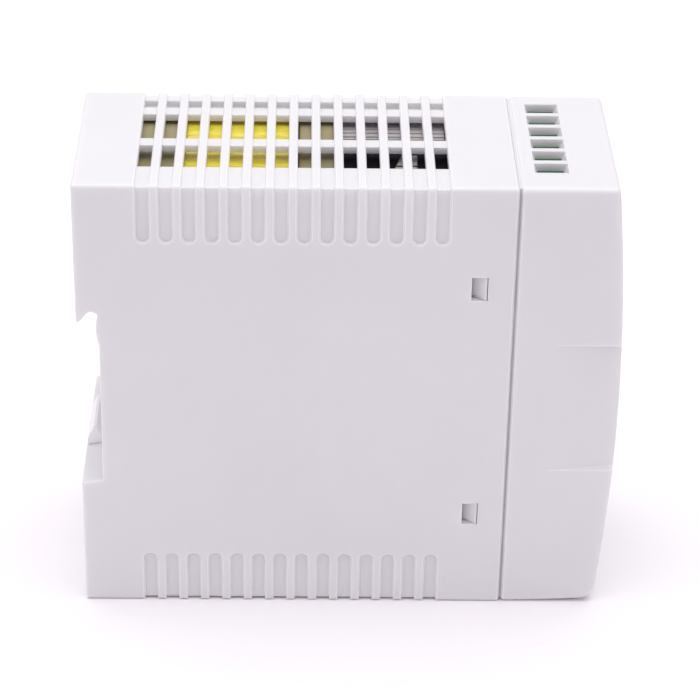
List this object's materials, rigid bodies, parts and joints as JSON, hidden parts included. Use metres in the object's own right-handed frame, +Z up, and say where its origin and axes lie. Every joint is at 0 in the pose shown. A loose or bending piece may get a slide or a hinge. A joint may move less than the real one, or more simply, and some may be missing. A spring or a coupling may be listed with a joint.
{
  "type": "DIN rail power supply",
  "caption": "Narrow white box with vent slots top and bottom, a notch and sprung latch for a 35 mm rail, and screw terminals at the top and bottom of its bowed front.",
  "frame": {"origin": "middle of the bottom face of the bounding box, with the rail latch and the clamp screws at rest", "axes": "+Z up, X along the rail, -Y out of the front face, +Y towards the rail"},
  "size_m": [0.04, 0.101, 0.09],
  "materials": {
    "housing": "white moulded plastic with a fine texture",
    "latch": "white moulded plastic",
    "label": "light grey film",
    "terminal_plastic": "green moulded plastic",
    "tinned_copper": "tinned",
    "nickel": "bright nickel plate",
    "spring_steel": "bright drawn wire",
    "circuit_board": "olive laminate",
    "black_plastic": "black moulded plastic",
    "led_resin": "tinted clear resin",
    "light_pipe": "clear acrylic",
    "trimmer_blue": "blue moulded plastic",
    "trimmer_white": "white plastic",
    "insulation": "thin translucent sheet",
    "ferrite": "sintered ferrite",
    "bobbin": "phenolic",
    "yellow_tape": "polyester tape",
    "black_sleeve": "shrink sleeve",
    "aluminium": "plain",
    "copper_wire": "enamelled copper",
    "grey_box": "grey box capacitor",
    "blue_ceramic": "dipped ceramic",
    "green_ceramic": "dipped ceramic",
    "toroid_yellow": "coated iron powder"
  },
  "bodies": {
    "case": {"bridge_rectifier": "black_plastic", "capacitor_can": "aluminium", "capacitor_sleeve": "black_sleeve", "choke_core": "ferrite", "choke_windings": "copper_wire", "controller_chip": "black_plastic", "front_board": "circuit_board", "front_cover": "housing", "front_label": "label", "fuse": "black_plastic", "header_pins": "tinned_copper", "heatsink_primary": "aluminium", "heatsink_screws": "nickel", "heatsink_secondary": "aluminium", "input_contacts": "tinned_copper", "input_terminal_block": "terminal_plastic", "insulation_sheet": "insulation", "interference_capacitor": "grey_box", "light_pipe": "light_pipe", "main_board": "circuit_board", "optocouplers": "black_plastic", "output_capacitors": "black_sleeve", "output_contacts": "tinned_copper", "output_rectifier": "black_plastic", "output_terminal_block": "terminal_plastic", "power_transistor": "black_plastic", "rear_housing": "housing", "safety_capacitors": "blue_ceramic", "signal_relay": "black_plastic", "status_led": "led_resin", "thermistor": "green_ceramic", "toroid_core": "toroid_yellow", "toroid_winding": "copper_wire", "transformer_bobbin": "bobbin", "transformer_core": "ferrite", "transformer_pins": "tinned_copper", "transformer_winding": "yellow_tape", "trimmer_body": "trimmer_blue", "varistor": "blue_ceramic", "latch_spring": "spring_steel"},
    "din_latch": {"din_latch": "latch"},
    "input_clamp_1": {"input_clamp_1": "tinned_copper"},
    "input_clamp_2": {"input_clamp_2": "tinned_copper"},
    "input_clamp_3": {"input_clamp_3": "tinned_copper"},
    "input_screw_1": {"input_screw_1": "nickel"},
    "input_screw_2": {"input_screw_2": "nickel"},
    "input_screw_3": {"input_screw_3": "nickel"},
    "output_clamp_1": {"output_clamp_1": "tinned_copper"},
    "output_clamp_2": {"output_clamp_2": "tinned_copper"},
    "output_clamp_3": {"output_clamp_3": "tinned_copper"},
    "output_clamp_4": {"output_clamp_4": "tinned_copper"},
    "output_clamp_5": {"output_clamp_5": "tinned_copper"},
    "output_clamp_6": {"output_clamp_6": "tinned_copper"},
    "output_screw_1": {"output_screw_1": "nickel"},
    "output_screw_2": {"output_screw_2": "nickel"},
    "output_screw_3": {"output_screw_3": "nickel"},
    "output_screw_4": {"output_screw_4": "nickel"},
    "output_screw_5": {"output_screw_5": "nickel"},
    "output_screw_6": {"output_screw_6": "nickel"},
    "trimmer_rotor": {"trimmer_rotor": "trimmer_white"}
  },
  "joints": [
    {"name": "latch_slide", "type": "slide", "parent": "case", "child": "din_latch", "axis": [0, 0, -1], "range_m": [0, 0.004], "stiffness_N_per_m": 1500, "springref_m": -0.003, "deforming": ["latch_spring"]},
    {"name": "trimmer_turn", "type": "hinge", "parent": "case", "child": "trimmer_rotor", "pos_m": [0.009, -0.0395, 0.067], "axis": [0, 1, 0], "range_deg": [-135, 135]},
    {"name": "output_screw_turn_1", "type": "hinge", "parent": "case", "child": "output_screw_1", "pos_m": [-0.0114, -0.0415, 0.0828], "axis": [0, 1, 0], "range_deg": [0, 1800.5]},
    {"name": "output_clamp_slide_1", "type": "slide", "parent": "case", "child": "output_clamp_1", "axis": [0, -1, 0], "range_m": [0, 0.00225]},
    {"name": "output_screw_turn_2", "type": "hinge", "parent": "case", "child": "output_screw_2", "pos_m": [-0.00632, -0.0415, 0.0828], "axis": [0, 1, 0], "range_deg": [0, 1800.5]},
    {"name": "output_clamp_slide_2", "type": "slide", "parent": "case", "child": "output_clamp_2", "axis": [0, -1, 0], "range_m": [0, 0.00225]},
    {"name": "output_screw_turn_3", "type": "hinge", "parent": "case", "child": "output_screw_3", "pos_m": [-0.00124, -0.0415, 0.0828], "axis": [0, 1, 0], "range_deg": [0, 1800.5]},
    {"name": "output_clamp_slide_3", "type": "slide", "parent": "case", "child": "output_clamp_3", "axis": [0, -1, 0], "range_m": [0, 0.00225]},
    {"name": "output_screw_turn_4", "type": "hinge", "parent": "case", "child": "output_screw_4", "pos_m": [0.00384, -0.0415, 0.0828], "axis": [0, 1, 0], "range_deg": [0, 1800.5]},
    {"name": "output_clamp_slide_4", "type": "slide", "parent": "case", "child": "output_clamp_4", "axis": [0, -1, 0], "range_m": [0, 0.00225]},
    {"name": "output_screw_turn_5", "type": "hinge", "parent": "case", "child": "output_screw_5", "pos_m": [0.00892, -0.0415, 0.0828], "axis": [0, 1, 0], "range_deg": [0, 1800.5]},
    {"name": "output_clamp_slide_5", "type": "slide", "parent": "case", "child": "output_clamp_5", "axis": [0, -1, 0], "range_m": [0, 0.00225]},
    {"name": "output_screw_turn_6", "type": "hinge", "parent": "case", "child": "output_screw_6", "pos_m": [0.014, -0.0415, 0.0828], "axis": [0, 1, 0], "range_deg": [0, 1800.5]},
    {"name": "output_clamp_slide_6", "type": "slide", "parent": "case", "child": "output_clamp_6", "axis": [0, -1, 0], "range_m": [0, 0.00225]},
    {"name": "input_screw_turn_1", "type": "hinge", "parent": "case", "child": "input_screw_1", "pos_m": [-0.00762, -0.0415, 0.0072], "axis": [0, 1, 0], "range_deg": [0, 1800.5]},
    {"name": "input_clamp_slide_1", "type": "slide", "parent": "case", "child": "input_clamp_1", "axis": [0, -1, 0], "range_m": [0, 0.00225]},
    {"name": "input_screw_turn_2", "type": "hinge", "parent": "case", "child": "input_screw_2", "pos_m": [0, -0.0415, 0.0072], "axis": [0, 1, 0], "range_deg": [0, 1800.5]},
    {"name": "input_clamp_slide_2", "type": "slide", "parent": "case", "child": "input_clamp_2", "axis": [0, -1, 0], "range_m": [0, 0.00225]},
    {"name": "input_screw_turn_3", "type": "hinge", "parent": "case", "child": "input_screw_3", "pos_m": [0.00762, -0.0415, 0.0072], "axis": [0, 1, 0], "range_deg": [0, 1800.5]},
    {"name": "input_clamp_slide_3", "type": "slide", "parent": "case", "child": "input_clamp_3", "axis": [0, -1, 0], "range_m": [0, 0.00225]}
  ],
  "couplings": [
    {"joint": "output_screw_turn_1", "follows": "output_clamp_slide_1", "rad_per_m": 13963},
    {"joint": "output_screw_turn_2", "follows": "output_clamp_slide_2", "rad_per_m": 13963},
    {"joint": "output_screw_turn_3", "follows": "output_clamp_slide_3", "rad_per_m": 13963},
    {"joint": "output_screw_turn_4", "follows": "output_clamp_slide_4", "rad_per_m": 13963},
    {"joint": "output_screw_turn_5", "follows": "output_clamp_slide_5", "rad_per_m": 13963},
    {"joint": "output_screw_turn_6", "follows": "output_clamp_slide_6", "rad_per_m": 13963},
    {"joint": "input_screw_turn_1", "follows": "input_clamp_slide_1", "rad_per_m": 13963},
    {"joint": "input_screw_turn_2", "follows": "input_clamp_slide_2", "rad_per_m": 13963},
    {"joint": "input_screw_turn_3", "follows": "input_clamp_slide_3", "rad_per_m": 13963}
  ]
}
